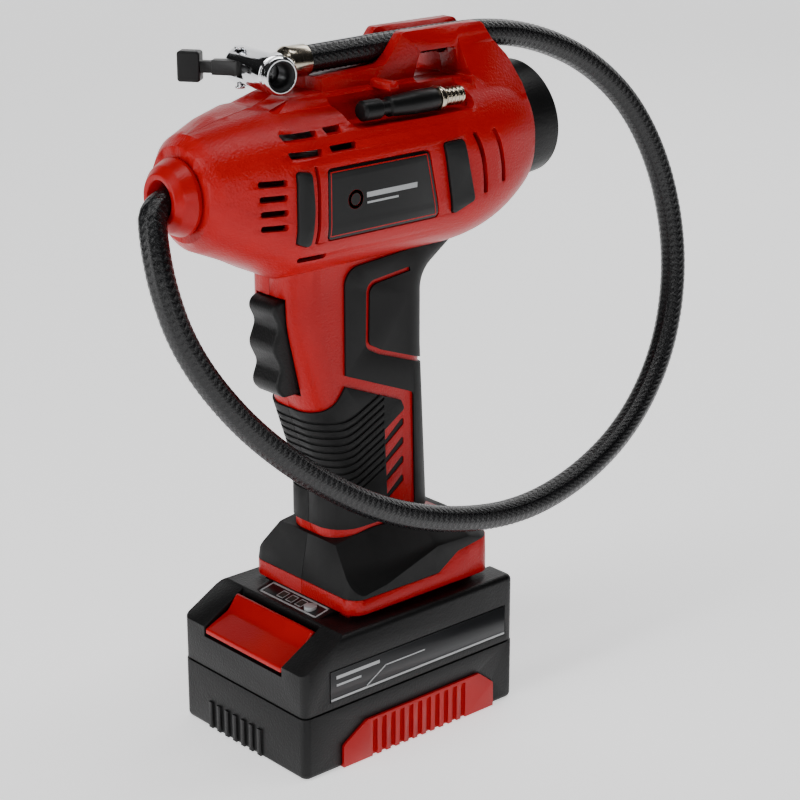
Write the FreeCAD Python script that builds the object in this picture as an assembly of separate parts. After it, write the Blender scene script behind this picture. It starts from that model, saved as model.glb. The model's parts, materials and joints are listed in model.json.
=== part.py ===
"""Cordless hand-held air pump: a pistol-shaped compressor on a slide-on battery pack.

The frame: +Z up, -X towards the nose where the hose leaves, +Y the tool's right-hand side.
The origin is the middle of the flat face that the battery pack stands on. Lengths are millimetres.
"""
import FreeCAD
import Part
import math
import os

V = FreeCAD.Vector

# ---------------------------------------------------------------- driving dimensions
WALL = 2.6            # wall of the plastic shells
SEAM = 0.12           # half of the gap that shows between the two housing halves
CLEAR = 0.35          # gap between pieces that move past each other

PACK_LENGTH = 115.4   # battery pack along X
PACK_WIDTH = 80.0
PACK_SPLIT_Z = 27.4   # joint between the pack's lower and upper shells
PACK_TOP_Z = 57.4
PACK_CORNER = 3.5

FOOT_Z = 59.6         # underside of the tool's foot
FOOT_BAND_TOP_Z = 66.0
FOOT_FRONT_X, FOOT_REAR_X = -26.0, 51.0
FOOT_HALF_WIDTH = 33.0
RING_Z = 89.2         # thin ring at the bottom of the grip

GRIP_HALF_WIDTH = 17.3
GRIP_ROUND = 12.0
SKIN = 1.0            # how far the soft grip stands proud
BOND = 0.06           # glue line between the soft pieces and the shell

BARREL_Z = 232.8
BARREL_HALF_WIDTH = 34.0
BARREL_HALF_HEIGHT = 31.9

HOSE_D = 10.8
HOSE_Z = 280.0        # height of the hose in its channel

CAP_CENTRE = (94.5, 0.0, 243.0)   # middle of the display end's rear rim
CAP_TILT = 7.0                    # degrees that the display faces upwards
CAP_R = 24.3
CAP_DEPTH = 20.2

MOTOR_Z = 236.0
GEAR_MODULE = 0.8
PINION_TEETH = 10
GEAR_TEETH = 40
CRANK_Z = MOTOR_Z - GEAR_MODULE * (PINION_TEETH + GEAR_TEETH) / 2
THROW = 5.5           # crank radius: half of the stroke
CYLINDER_X = -17.5
BORE_R = 9.0

OUT = "parts"
os.makedirs(OUT, exist_ok=True)


# ---------------------------------------------------------------- small geometry helpers
def save(name, shape):
    """Writes one node: all the closed solids of the shape."""
    solids = [s for s in shape.Solids if s.Volume > 0.02]
    if not solids:
        raise ValueError(name + " has no solid")
    made = solids[0] if len(solids) == 1 else Part.makeCompound(solids)
    made.exportStep(os.path.join(OUT, name + ".step"))
    box = made.BoundBox
    print("%-22s solids %2d  vol %9.1f  x %7.1f %7.1f  y %6.1f %6.1f  z %6.1f %6.1f %s" % (
        name, len(solids), made.Volume, box.XMin, box.XMax, box.YMin, box.YMax, box.ZMin, box.ZMax,
        "" if made.isValid() else "INVALID"))
    return made


def box(x0, x1, y0, y1, z0, z1):
    return Part.makeBox(x1 - x0, y1 - y0, z1 - z0, V(x0, y0, z0))


def rod(start, direction, radius, length):
    return Part.makeCylinder(radius, length, V(*start), V(*direction))


def tube(start, direction, outer, inner, length):
    return rod(start, direction, outer, length).cut(rod(start, direction, inner, length))


def join(shapes):
    first, *rest = shapes
    return first.fuse(rest) if rest else first


def mirrored(shape):
    """The same shape on the tool's other side."""
    return shape.mirror(V(0, 0, 0), V(0, 1, 0))


def corner_arc(before, corner, after, radius):
    """The two tangent points and the arc's middle point that round one corner of an outline."""
    a, b = (before - corner).normalize(), (after - corner).normalize()
    half = a.getAngle(b) / 2
    back = radius / math.tan(half)
    inward = (a + b).normalize()
    middle = corner + inward * (radius / math.sin(half) - radius)
    return corner + a * back, middle, corner + b * back


def outline(points, place):
    """A closed wire through the points; a point with a third number is rounded to that radius.
    place turns a pair of outline coordinates into a point in space."""
    corners = [place(p[0], p[1]) for p in points]
    radii = [p[2] if len(p) > 2 else 0.0 for p in points]
    edges, first, last = [], None, None
    count = len(points)
    for i in range(count):
        corner, radius = corners[i], radii[i]
        if radius > 0:
            start, middle, end = corner_arc(corners[i - 1], corner, corners[(i + 1) % count], radius)
        else:
            start = middle = end = corner
        if last is not None and last.distanceToPoint(start) > 1e-6:
            edges.append(Part.LineSegment(last, start).toShape())
        if radius > 0:
            edges.append(Part.Arc(start, middle, end).toShape())
        first = start if first is None else first
        last = end
    if last.distanceToPoint(first) > 1e-6:
        edges.append(Part.LineSegment(last, first).toShape())
    return Part.Wire(edges)


def side_plate(points, y0, y1):
    """A side view outline, in X and Z, extruded from y0 to y1."""
    wire = outline(points, lambda x, z: V(x, y0, z))
    return Part.Face(wire).extrude(V(0, y1 - y0, 0))


def top_plate(points, z0, z1):
    """An outline seen from above, in X and Y, extruded from z0 to z1."""
    wire = outline(points, lambda x, y: V(x, y, z0))
    return Part.Face(wire).extrude(V(0, 0, z1 - z0))


def front_plate(points, x0, x1):
    """An outline seen along X, in Y and Z, extruded from x0 to x1."""
    wire = outline(points, lambda y, z: V(x0, y, z))
    return Part.Face(wire).extrude(V(x1 - x0, 0, 0))


def rectangle(a0, a1, b0, b1, radius):
    return [(a0, b0, radius), (a1, b0, radius), (a1, b1, radius), (a0, b1, radius)]


def section_x(x, z, half_width, half_height, radius):
    """A rounded rectangle in the plane at x, as a loft section."""
    points = rectangle(-half_width, half_width, z - half_height, z + half_height, radius)
    return outline(points, lambda y, zz: V(x, y, zz))


def section_z(z, x0, x1, half_width, radius):
    points = rectangle(x0, x1, -half_width, half_width, radius)
    return outline(points, lambda x, y: V(x, y, z))


def edges_between(shape, test):
    return [e for e in shape.Edges if test(e)]


def rounded_edges(shape, radius, test):
    """The shape with the edges that pass the test rounded; the plain shape if none can be."""
    found = edges_between(shape, test)
    return shape.makeFillet(radius, found) if found else shape


def turned(shape, centre, axis, degrees):
    made = shape.copy()
    made.rotate(V(*centre), V(*axis), degrees)
    return made


def helix_spring(start, direction, radius, wire_radius, length, turns):
    """A compression spring as one swept round wire."""
    path = Part.makeHelix(length / turns, length, radius)
    ring = Part.Wire([Part.makeCircle(wire_radius, V(radius, 0, 0), V(0, 1, 0))])
    spring = Part.Wire(path).makePipeShell([ring], True, True)
    spring.Placement = FreeCAD.Placement(V(*start), FreeCAD.Rotation(V(0, 0, 1), V(*direction)))
    return spring


# ---------------------------------------------------------------- outer forms, grown or shrunk by d
def barrel(d):
    """The motor barrel from the nose shoulder to the display end, grown outwards by d."""
    width, height = BARREL_HALF_WIDTH + d, BARREL_HALF_HEIGHT + d
    nose = Part.makeLoft([
        section_x(-80.5 - d, 236.6, 18.2 + d, 18.2 + d, 18.0 + d),
        section_x(-76.6, 236.4, 22.4 + d, 22.2 + d, 21.8 + d),
        section_x(-61.0, 235.0, 29.0 + d, 27.4 + d, 22.5 + d),
        section_x(-48.0, BARREL_Z, width - 0.6, height, 24.0 + d),
    ], True, True)
    middle = Part.makeLoft([
        section_x(-48.0, BARREL_Z, width - 0.6, height, 24.0 + d),
        section_x(-42.0, BARREL_Z, width, height, 24.0 + d),
        section_x(34.0, BARREL_Z, width, height, 24.0 + d),
    ], True, True)
    tail = Part.makeLoft([
        section_x(34.0, BARREL_Z, width, height, 24.0 + d),
        section_x(57.0, 235.2, 32.6 + d, 31.0 + d, 24.4 + d),
        section_x(70.6, 238.0, 29.9 + d, 29.6 + d, 26.0 + d),
        section_x(76.0, 239.2, 28.5 + d, 28.5 + d, 27.0 + d),
    ], True, False)
    return nose.fuse([middle, tail])


def grip_side(grow):
    """Side view of the grip, with the web that runs back under the barrel."""
    return [
        (-20.6 - grow, 70.0), (-20.6 - grow, 113.0 - grow * 0.2, 34.0), (-31.8 - grow, 146.0, 40.0),
        (-39.6 - grow, 180.0, 60.0), (-39.6 - grow, 236.0), (74.5, 236.0), (74.5, 210.8 - grow),
        (46.0 + grow * 0.3, 200.9 - grow, 24.0), (28.8 + grow, 189.0 - grow * 0.5, 10.0),
        (28.8 + grow, 160.0, 60.0), (33.4 + grow, 70.0),
    ]


def grip(d):
    """The grip as a rounded slab, grown outwards by d."""
    half = GRIP_HALF_WIDTH + d
    slab = side_plate(grip_side(d), -half, half)

    def long_edge(edge):
        middle = edge.valueAt((edge.FirstParameter + edge.LastParameter) / 2)
        on_side = abs(abs(middle.y) - half) < 1e-3
        at_ends = middle.z > 235.9 or middle.z < 70.1 or middle.x > 74.4
        return on_side and not at_ends
    return rounded_edges(slab, GRIP_ROUND + d * 0.8, long_edge)


def flare_section(x, knee_z, top_half, top_z, d):
    """The foot's skirt across the tool at x: upright sides up to the knee, then a slope to the top."""
    half, low = FOOT_HALF_WIDTH + d, 0.45 * d
    knee = max(knee_z + low, FOOT_BAND_TOP_Z + 0.05)
    points = [(-half, FOOT_BAND_TOP_Z), (-half, knee), (-top_half - d, top_z + low),
              (top_half + d, top_z + low), (half, knee), (half, FOOT_BAND_TOP_Z)]
    return outline(points, lambda y, z: V(x, y, z))


def foot_flare(d):
    """The skirt that widens from the grip to the foot, grown outwards by d. Its ridge climbs rearwards."""
    along = Part.makeLoft([
        flare_section(FOOT_FRONT_X - 2.0, 66.6, 17.7, 85.0, d), flare_section(-8.0, 69.4, 17.7, 87.8, d),
        flare_section(20.0, 78.4, 17.7, 91.0, d),
        flare_section(37.0, 78.0, 18.6, 88.0, d), flare_section(FOOT_REAR_X + 2.0, 73.4, 20.0, 77.0, d),
    ], True, True)
    upright = Part.makeLoft([
        section_z(FOOT_BAND_TOP_Z, FOOT_FRONT_X - d, FOOT_REAR_X + d, FOOT_HALF_WIDTH + d, 7.0),
        section_z(94.0, FOOT_FRONT_X + 5.0 - d, FOOT_REAR_X - 1.0 + d, FOOT_HALF_WIDTH + d, 7.0),
    ], True, True)
    return along.common(upright)


def foot_band(d):
    points = rectangle(FOOT_FRONT_X - d, FOOT_REAR_X + d, -FOOT_HALF_WIDTH - d, FOOT_HALF_WIDTH + d, 7.0)
    return top_plate(points, FOOT_Z, FOOT_BAND_TOP_Z)


def cap_frame(shape):
    """Places a shape that is drawn with its axis along +X from the origin at the display end."""
    made = shape.copy()
    made.rotate(V(0, 0, 0), V(0, 1, 0), -CAP_TILT)
    made.translate(V(*CAP_CENTRE))
    return made


# ---------------------------------------------------------------- shared regions of the side view
LABEL = [(-37.6, 217.6, 2.0), (19.4, 217.6, 2.0), (13.4, 245.6, 2.0), (-37.6, 245.6, 2.0)]
FRONT_PAD = [(-51.2, 218.4, 1.5), (-45.4, 216.4, 1.5), (-43.8, 231.0, 40.0), (-45.0, 245.6, 1.5),
             (-51.2, 246.4, 1.5)]
REAR_PAD = [(25.6, 217.4, 1.5), (37.4, 221.6, 1.5), (31.6, 247.2, 1.5), (20.6, 247.0, 1.5)]


def shrunk(points, by):
    """An outline moved inwards by the same distance all round its middle."""
    middle_x = sum(p[0] for p in points) / len(points)
    middle_z = sum(p[1] for p in points) / len(points)
    return [(x + math.copysign(by, middle_x - x), z + math.copysign(by, middle_z - z), *rest)
            for x, z, *rest in points]


def side_layer(points, outer, inner):
    """The part of a barrel layer that lies inside a side view outline, on the left side."""
    cutter = side_plate(points, -60.0, -12.0)
    return outer.common(cutter).cut(inner)


# ---------------------------------------------------------------- the two red housing halves
def top_block():
    """The ridge on the barrel with the hose channel, its clip rails and the hanging window."""
    front = side_plate([
        (-58.0, 250.0), (-58.0, 259.0), (-45.0, 265.4, 8.0), (-33.0, 269.4, 8.0), (-20.0, 273.8, 6.0),
        (11.0, 275.0, 4.0), (20.5, 286.8, 3.0), (62.5, 286.8, 4.0), (73.2, 272.6, 6.0), (75.6, 260.0),
        (75.6, 250.0),
    ], -10.4, 10.4)
    rear = front_plate([(-24.5, 245.0), (-24.5, 257.0, 8.0), (-10.4, 280.0, 8.0), (-10.4, 290.0),
                        (10.4, 290.0), (10.4, 280.0, 8.0), (24.5, 257.0, 8.0), (24.5, 245.0)], 50.0, 75.0)
    rear = rear.common(side_plate([(50.0, 245.0), (50.0, 286.8), (62.5, 286.8, 4.0), (72.6, 272.6, 6.0),
                                   (75.0, 262.0), (75.0, 245.0)], -30.0, 30.0))
    saddle = front_plate([(-19.0, 245.0), (-19.0, 259.0, 6.0), (-10.4, 269.0, 4.0), (10.4, 269.0, 4.0),
                          (19.0, 259.0, 6.0), (19.0, 245.0)], -60.0, 60.0)
    saddle = saddle.common(side_plate([(-60.0, 244.0), (-60.0, 257.6), (-46.0, 263.8, 10.0),
                                       (-35.0, 269.1, 6.0), (61.0, 269.1), (61.0, 244.0)], -30.0, 30.0))
    return front.fuse([rear, saddle])


def top_block_cuts():
    """The hose channel, the window under the clip rails and the two adapter shelves."""
    half = HOSE_D / 2 + 0.3
    channel = join([
        box(-24.0, 84.0, -half, half, HOSE_Z, 300.0),
        rod((-24.0, 0, HOSE_Z), (1, 0, 0), half, 108.0),
    ])
    chuck_seat = box(-70.0, -20.3, -20.0, 20.0, 268.6, 300.0)
    well = box(26.0, 49.0, -half, half, 266.5, 290.0)
    window = side_plate([(25.2, 266.5, 1.5), (29.6, 278.3, 1.5), (48.2, 278.3, 1.5), (50.8, 266.5, 1.5)],
                        -30.0, 30.0)
    shelf = side_plate([(-20.0, 256.6, 5.0), (45.0, 256.6, 5.0), (45.0, 300.0), (-20.0, 300.0)], -60.0, -12.2)
    return [channel, chuck_seat, well, window, shelf, mirrored(shelf)]


def shelf_walls():
    """The floor and inner wall of each adapter shelf, which close the barrel under the cuts."""
    floor = box(-21.5, 46.5, -36.0, -9.8, 254.3, 256.6).fuse(box(-21.5, 46.5, -12.2, -9.9, 254.3, 263.0))
    ends = [box(-22.4, -20.0, -36.0, -9.8, 254.3, 266.0), box(45.0, 47.4, -36.0, -9.8, 254.3, 266.0)]
    closed = floor.fuse(ends).common(barrel(-WALL / 2))
    return [closed, mirrored(closed)]


def switch_ribs():
    """Ribs inside the grip that hold the trigger switch between the halves."""
    rib = box(-12.5, -10.5, 8.6, 15.6, 159.0, 189.0).fuse(box(-5.5, -3.5, 8.6, 15.6, 159.0, 189.0))
    return [rib, mirrored(rib)]


def vent_prisms():
    """Outlines of the cooling slots in the left side, as through cutters."""
    outlines = []
    for i in range(4):
        z = 224.4 + 5.6 * i
        outlines.append((rectangle(-64.0 - 0.35 * i, -54.2, z, z + 2.5, 1.0), -50.0, -12.0))
    for x0, x1, z in [(-51.6, -37.4, 256.2), (-32.6, -25.6, 256.6), (-51.4, -38.4, 250.2),
                      (-33.4, -21.8, 250.6)]:
        outlines.append(([(x0, z, 0.6), (x1, z, 0.6), (x1 + 0.9, z + 2.6, 0.6), (x0 - 0.9, z + 2.6, 0.6)],
                         -50.0, -10.0))
    for x, z0, z1 in [(37.2, 223.6, 248.6), (47.9, 226.4, 248.6)]:
        middle = (z0 + z1) / 2
        outlines.append(([(x + 5.2, z0, 0.8), (x + 7.6, z0, 0.8), (x + 7.2, middle, 42.0), (x + 1.9, z1, 0.8),
                          (x - 0.5, z1, 0.8), (x + 4.8, middle, 42.0)], -50.0, -12.0))
    outlines.append(([(-48.4, 210.4, 0.9), (-36.0, 210.4, 0.9), (-35.4, 212.6, 0.9), (-49.2, 212.6, 0.9)],
                     -50.0, -14.0))
    outlines.append(([(-43.4, 217.6, 0.6), (-41.8, 217.6, 0.6), (-40.2, 232.0, 120.0), (-41.8, 247.0, 0.6),
                      (-43.4, 247.0, 0.6), (-41.8, 232.0, 120.0)], -50.0, -14.0))
    return [side_plate(points, y0, y1) for points, y0, y1 in outlines]


SCREWS = [(-58.0, 254.0), (-57.0, 216.0), (70.0, 214.6), (64.6, 258.0), (22.0, 150.0), (-14.0, 134.0),
          (24.0, 104.0), (-12.0, 80.0), (40.0, 74.5)]
BOSS_R = 3.4


def housing():
    """The whole red shell, before it is cut into its two halves."""
    outer = barrel(0).fuse([top_block(), grip(0), foot_flare(-SKIN), foot_band(0), rear_patches()])
    cavity = barrel(-WALL).fuse([grip(-WALL), foot_flare(-SKIN - WALL)])
    cavity = cavity.fuse(box(FOOT_FRONT_X + WALL, FOOT_REAR_X - WALL, -FOOT_HALF_WIDTH + WALL,
                             FOOT_HALF_WIDTH - WALL, FOOT_Z + WALL, FOOT_BAND_TOP_Z + 0.5))
    bosses = join([rod((x, -50, z), (0, 1, 0), BOSS_R, 100) for x, z in SCREWS]).common(cavity)
    shell = outer.cut(cavity).cut(top_block_cuts())
    return shell.fuse([bosses.common(outer)] + shelf_walls() + switch_ribs()), outer


def rear_patches():
    """The red corners at the rear of the foot, where the soft skin is cut away."""
    full = foot_flare(0)
    patch = side_plate(PATCH, -60.0, 60.0)
    return full.common(patch)


PATCH = [(20.0, 66.0), (31.0, 73.0, 3.0), (60.0, 77.4), (60.0, 60.0), (20.0, 60.0)]


def housing_openings(outer):
    """Everything that is cut from the shell after the cavity: vents, pockets, slots and holes."""
    layer_in = barrel(-1.3)
    pockets = [side_layer(points, outer, layer_in) for points in (LABEL, FRONT_PAD, REAR_PAD)]
    pockets += vent_prisms()
    pockets += [mirrored(p) for p in pockets]
    trigger_slot = box(-60.0, -26.0, -9.1, 9.1, 149.2, 190.2)
    nose_hole = rod((-95.0, 0, 236.0), (1, 0, 0), 9.0, 21.5)
    display_hole = cap_frame(rod((-22.0, 0, 0), (1, 0, 0), CAP_R - 1.6, 40.0))
    tongue_hole = box(28.0, 41.0, -13.0, 13.0, FOOT_Z - 1, FOOT_Z + WALL + 1)
    inset = [side_plate(points, -40.0, INSET_FLOOR_Y) for points in inset_slots(0.0)]
    return pockets + [trigger_slot, nose_hole, display_hole, tongue_hole] + inset + [mirrored(s) for s in inset]


INSET_FLOOR_Y = -15.8


def inset_slots(gap):
    """Side view outlines of the slanted dark slots in the red inset of the grip, made smaller by gap."""
    left, right = 4.4 + gap, 14.8 - gap
    return [[(left, z - 9.3 + 2.0 * gap, 0.8), (right, z - 1.9 + 0.6 * gap, 0.9),
             (right, z + 1.9 - 2.0 * gap, 0.9), (left, z - 6.6 - 0.6 * gap, 0.8)]
            for z in (130.6, 122.4, 114.2, 106.0)]


def split_halves(shell, outer):
    """Cuts the shell at the middle plane, and bores the screw holes from the right side."""
    left = shell.common(box(-150, 150, -80, -SEAM, 50, 310))
    right = shell.common(box(-150, 150, SEAM, 80, 50, 310))
    pilot = [rod((x, -9.0, z), (0, 1, 0), 1.25, 60.0) for x, z in SCREWS]
    left = left.cut(pilot)
    head = [rod((x, 6.0, z), (0, 1, 0), 2.9, 60.0) for x, z in SCREWS]
    shank = [rod((x, -1.0, z), (0, 1, 0), 1.7, 60.0) for x, z in SCREWS]
    right = right.cut(head + shank)
    return left, right


def housing_screws():
    """Self-tapping screws with round heads, all driven from the right side."""
    made = []
    for x, z in SCREWS:
        screw = rod((x, -7.5, z), (0, 1, 0), 1.24, 14.0).fuse(rod((x, 6.05, z), (0, 1, 0), 2.6, 2.2))
        made.append(screw.cut(star_recess(x, z)))
    return Part.makeCompound(made)


def star_recess(x, z):
    """A six-lobed drive recess in a screw head, facing +Y."""
    lobes = [rod((x + 0.75 * math.cos(math.radians(60 * i)), 7.2, z + 0.75 * math.sin(math.radians(60 * i))),
                 (0, 1, 0), 0.42, 2.0) for i in range(6)]
    return rod((x, 7.2, z), (0, 1, 0), 0.85, 2.0).fuse(lobes)


# ---------------------------------------------------------------- soft grip skins, pads and labels
def grip_skins():
    """The soft skin of the grip and of the foot, before the seam cuts it into halves."""
    inner = barrel(BOND).fuse([grip(BOND)])
    skin = grip(SKIN).cut(inner)
    region = side_plate([
        (-16.5, 199.6, 7.5), (-16.5, 152.0, 1.0), (-23.0, 143.4, 16.0), (-34.0, 141.5), (-60.0, 143.0),
        (-60.0, RING_Z + 1.0), (70.0, RING_Z + 1.0), (90.0, 222.0), (36.0, 208.0), (20.0, 202.4),
    ], -40.0, 40.0)
    skin = skin.common(region)
    band = side_plate([(-22.0, 158.6), (16.4, 143.0, 3.0), (19.4, 141.6, 2.0), (20.4, 92.0), (6.4, 92.0),
                       (5.0, 101.0), (3.8, 129.0), (14.4, 135.8, 1.0), (12.6, 139.8), (-22.0, 154.0)],
                      -40.0, 40.0)
    window = side_plate([(17.4, 195.1), (-5.6, 192.7, 5.0), (-6.2, 165.6, 4.5), (0.9, 161.7, 4.0), (60.0, 140.4),
                         (60.0, 142.4), (1.9, 163.5, 3.0), (-4.3, 167.0, 3.0), (-3.7, 190.9, 4.0),
                         (17.4, 193.2)], -40.0, 40.0)
    grooves = [side_plate(points, -40.0, 40.0) for points in rib_outlines()]
    rib_floor = grip(SKIN * 0.35)
    skin = skin.cut([band, window])
    ribs = Part.makeCompound(grooves).common(skin).cut(rib_floor)
    skin = skin.cut(ribs)
    flare = foot_flare(0).cut(foot_flare(-SKIN + BOND)).cut(side_plate(PATCH, -60.0, 60.0)).cut(grip(BOND))
    flare = flare.common(box(-60, 80, -60, 60, FOOT_BAND_TOP_Z + 0.3, RING_Z - 1.0))
    inset = Part.makeCompound([side_plate(points, -GRIP_HALF_WIDTH + 0.35, INSET_FLOOR_Y - BOND)
                               for points in inset_slots(0.08)])
    return skin, flare, inset


def rib_outlines():
    """Curved grooves across the front of the grip: bands between two arcs of a wave."""
    made = []
    for i in range(11):
        z = 139.0 - 3.3 * i
        made.append([(-46.0, z - 1.5), (-14.0, z - 2.2, 24.0), (3.6, z + 6.5, 1.0), (3.6, z + 7.8, 0.3),
                     (-14.4, z - 0.9, 24.0), (-46.0, z - 0.2)])
    return made


def pads():
    outer, inner = barrel(SKIN), barrel(-1.3 + BOND)
    front = side_layer(shrunk(FRONT_PAD, 0.35), outer, inner)
    rear = side_layer(shrunk(REAR_PAD, 0.35), outer, inner)
    return front.fuse(rear)


def label_plate():
    return side_layer(shrunk(LABEL, 0.5), barrel(-0.15), barrel(-1.3 + BOND))


# ---------------------------------------------------------------- nose, display end and controls
def nose_collar():
    """The flared ring that the hose comes out of, with a spigot inside the nose."""
    profile = [(-72.5, 7.4), (-72.5, 8.7), (-80.6, 8.7), (-80.6, 14.6, 1.2), (-82.9, 14.9, 1.0),
               (-87.5, 12.6, 3.0), (-90.1, 9.8, 1.2), (-90.1, 7.7), (-85.9, 6.1), (-81.9, 6.1), (-81.9, 7.4)]
    wire = outline(profile, lambda x, r: V(x, 0, 236.0 + r))
    return Part.Face(wire).revolve(V(0, 0, 236.0), V(1, 0, 0), 360)


def gauge_housing():
    """The black end cap that carries the display, drawn along +X and then tilted."""
    cup = rod((-CAP_DEPTH, 0, 0), (1, 0, 0), CAP_R, CAP_DEPTH)
    cup = rounded_edges(cup, 1.4, lambda e: abs(e.valueAt(e.FirstParameter).x) < 1e-6 and e.Length > 100)
    cup = cup.fuse(rod((-CAP_DEPTH - 2.0, 0, 0), (1, 0, 0), CAP_R - 1.9, 3.0))
    cup = cup.cut(rod((-1.8, 0, 0), (1, 0, 0), CAP_R - 2.4, 3.0))
    cup = cup.cut(rod((-CAP_DEPTH - 3.0, 0, 0), (1, 0, 0), CAP_R - 4.2, CAP_DEPTH - 1.6))
    window = front_plate(rectangle(-15.0, 15.0, -3.5, 15.5, 2.0), -6.0, 0.0)
    holes = [rod((-6.0, y, z), (1, 0, 0), 3.6, 6.0) for y, z in BUTTON_SPOTS]
    return cap_frame(cup.cut([window] + holes))


BUTTON_SPOTS = [(-10.5, -10.0), (0.0, -13.0), (10.5, -10.0)]


def display_lens():
    return cap_frame(front_plate(rectangle(-14.8, 14.8, -3.3, 15.3, 1.8), -3.4, -1.6))


def display_screen():
    return cap_frame(front_plate(rectangle(-13.4, 13.4, -2.9, 14.2, 0.8), -6.6, -3.9))


def display_board():
    board = front_plate(rectangle(-14.0, 14.0, -14.2, 13.4, 3.0), -9.4, -7.8)
    chips = [box(-12.0, -9.4, -9.0, 3.0, -8.0, 2.0), box(-11.4, -9.4, 5.5, 11.0, -10.0, -5.0)]
    contacts = [rod((-7.8, y, z), (1, 0, 0), 1.6, 0.9) for y, z in BUTTON_SPOTS]
    return cap_frame(board.fuse(chips + contacts))


def display_button(index):
    y, z = BUTTON_SPOTS[index]
    cap = rod((-5.2, y, z), (1, 0, 0), 3.2, 4.4)
    cap = rounded_edges(cap, 0.5, lambda e: abs(e.valueAt(e.FirstParameter).x + 0.8) < 1e-6 and e.Length > 15)
    return cap_frame(cap)


TRIGGER_HALF = 8.5


def trigger():
    """The finger lever: three bumps in front, hollow behind, with a stem to the switch."""
    front = [(-31.6, 149.8), (-39.6, 149.8, 2.5), (-43.8, 154.0, 5.0), (-40.6, 162.0, 5.0), (-44.8, 170.5, 6.0),
             (-41.2, 179.0, 5.0), (-45.2, 187.0, 4.0), (-41.0, 189.6, 2.0), (-34.6, 189.6)]
    body = side_plate(front, -TRIGGER_HALF, TRIGGER_HALF)

    def front_side_edge(edge):
        middle = edge.valueAt((edge.FirstParameter + edge.LastParameter) / 2)
        return abs(abs(middle.y) - TRIGGER_HALF) < 1e-3 and middle.x < -39.4
    body = rounded_edges(body, 1.6, front_side_edge)
    hollow = side_plate([(-30.0, 152.0), (-36.0, 152.0), (-38.4, 187.4), (-30.0, 187.4)], -6.6, 6.6)
    stem = box(-40.0, -28.6, -4.0, 4.0, 160.0, 168.0)
    return body.cut(hollow).fuse(stem)


def trigger_switch():
    body = box(-21.5, -0.5, -8.5, 8.5, 158.0, 190.0)
    tabs = [box(-0.5, 4.0, y, y + 0.8, z, z + 5.0) for y in (-5.0, 4.2) for z in (162.0, 180.0)]
    plunger = rod((-22.8, 0, 176.0), (1, 0, 0), 2.4, 1.6)
    return body.fuse(tabs + [plunger])


def trigger_spring():
    return helix_spring((-37.6, 0, 183.4), (1, 0, 0), 2.6, 0.35, 15.6, 7)


# ---------------------------------------------------------------- motor, gears and pump
def motor_can():
    can = tube((5.0, 0, MOTOR_Z), (1, 0, 0), 18.0, 16.8, 55.0)
    face = tube((5.0, 0, MOTOR_Z), (1, 0, 0), 17.0, 2.2, 1.4)
    boss = tube((3.0, 0, MOTOR_Z), (1, 0, 0), 4.8, 2.2, 2.0)
    return can.fuse([face, boss])


def motor_magnets():
    ring = tube((12.0, 0, MOTOR_Z), (1, 0, 0), 16.7, 14.6, 36.0)
    gap = box(0, 60, -5.5, 5.5, MOTOR_Z - 20, MOTOR_Z + 20)
    return ring.cut(gap)


def motor_endbell():
    bell = tube((60.0, 0, MOTOR_Z), (1, 0, 0), 17.8, 2.2, 3.4)
    brushes = [box(52.0, 60.0, s * 8.6 - 2.4, s * 8.6 + 2.4, MOTOR_Z - 2.2, MOTOR_Z + 2.2) for s in (-1, 1)]
    blades = [box(63.4, 66.0, -9.0, -8.2, MOTOR_Z - 12.0, MOTOR_Z - 7.0),
              box(63.4, 66.0, 8.2, 9.0, MOTOR_Z - 12.0, MOTOR_Z - 7.0)]
    return bell.fuse(brushes + blades)


def motor_shaft():
    return rod((-5.8, 0, MOTOR_Z), (1, 0, 0), 1.6, 77.4)


def armature():
    core = tube((15.0, 0, MOTOR_Z), (1, 0, 0), 13.8, 1.6, 30.0)
    slots = [turned(box(14.0, 46.0, -1.1, 1.1, MOTOR_Z + 8.0, MOTOR_Z + 15.0), (0, 0, MOTOR_Z), (1, 0, 0), 45 * i)
             for i in range(8)]
    commutator = tube((51.0, 0, MOTOR_Z), (1, 0, 0), 5.6, 1.6, 8.0)
    collar = tube((45.0, 0, MOTOR_Z), (1, 0, 0), 3.6, 1.6, 6.0)
    return core.cut(slots).fuse([collar, commutator])


def spur_gear(teeth, module, x0, x1, z, bore, phase):
    """A gear about an axis along X with straight tapered teeth."""
    pitch = module * teeth / 2
    root, tip = pitch - 1.15 * module, pitch + 0.9 * module
    step = 2 * math.pi / teeth
    points = []
    for i in range(teeth):
        a = (i + phase) * step
        for part, radius in ((-0.31, root), (-0.09, tip), (0.09, tip), (0.31, root)):
            points.append((radius * math.sin(a + part * step), z + radius * math.cos(a + part * step)))
    blank = front_plate(points, x0, x1)
    return blank.cut(rod((x0 - 1, 0, z), (1, 0, 0), bore, x1 - x0 + 2))


def drive_pinion():
    return spur_gear(PINION_TEETH, GEAR_MODULE, -5.8, -1.6, MOTOR_Z, 1.6, 0.5)


def cooling_fan():
    hub = tube((67.0, 0, MOTOR_Z), (1, 0, 0), 4.4, 1.6, 4.6)
    disc = tube((70.4, 0, MOTOR_Z), (1, 0, 0), 14.6, 4.0, 1.2)
    blade = box(67.2, 70.6, -0.5, 0.5, MOTOR_Z + 4.0, MOTOR_Z + 14.2)
    blades = [turned(turned(blade, (69, 0, MOTOR_Z + 9), (0, 0, 1), 24), (0, 0, MOTOR_Z), (1, 0, 0), 40 * i)
              for i in range(9)]
    return hub.fuse([disc] + blades)


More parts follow.
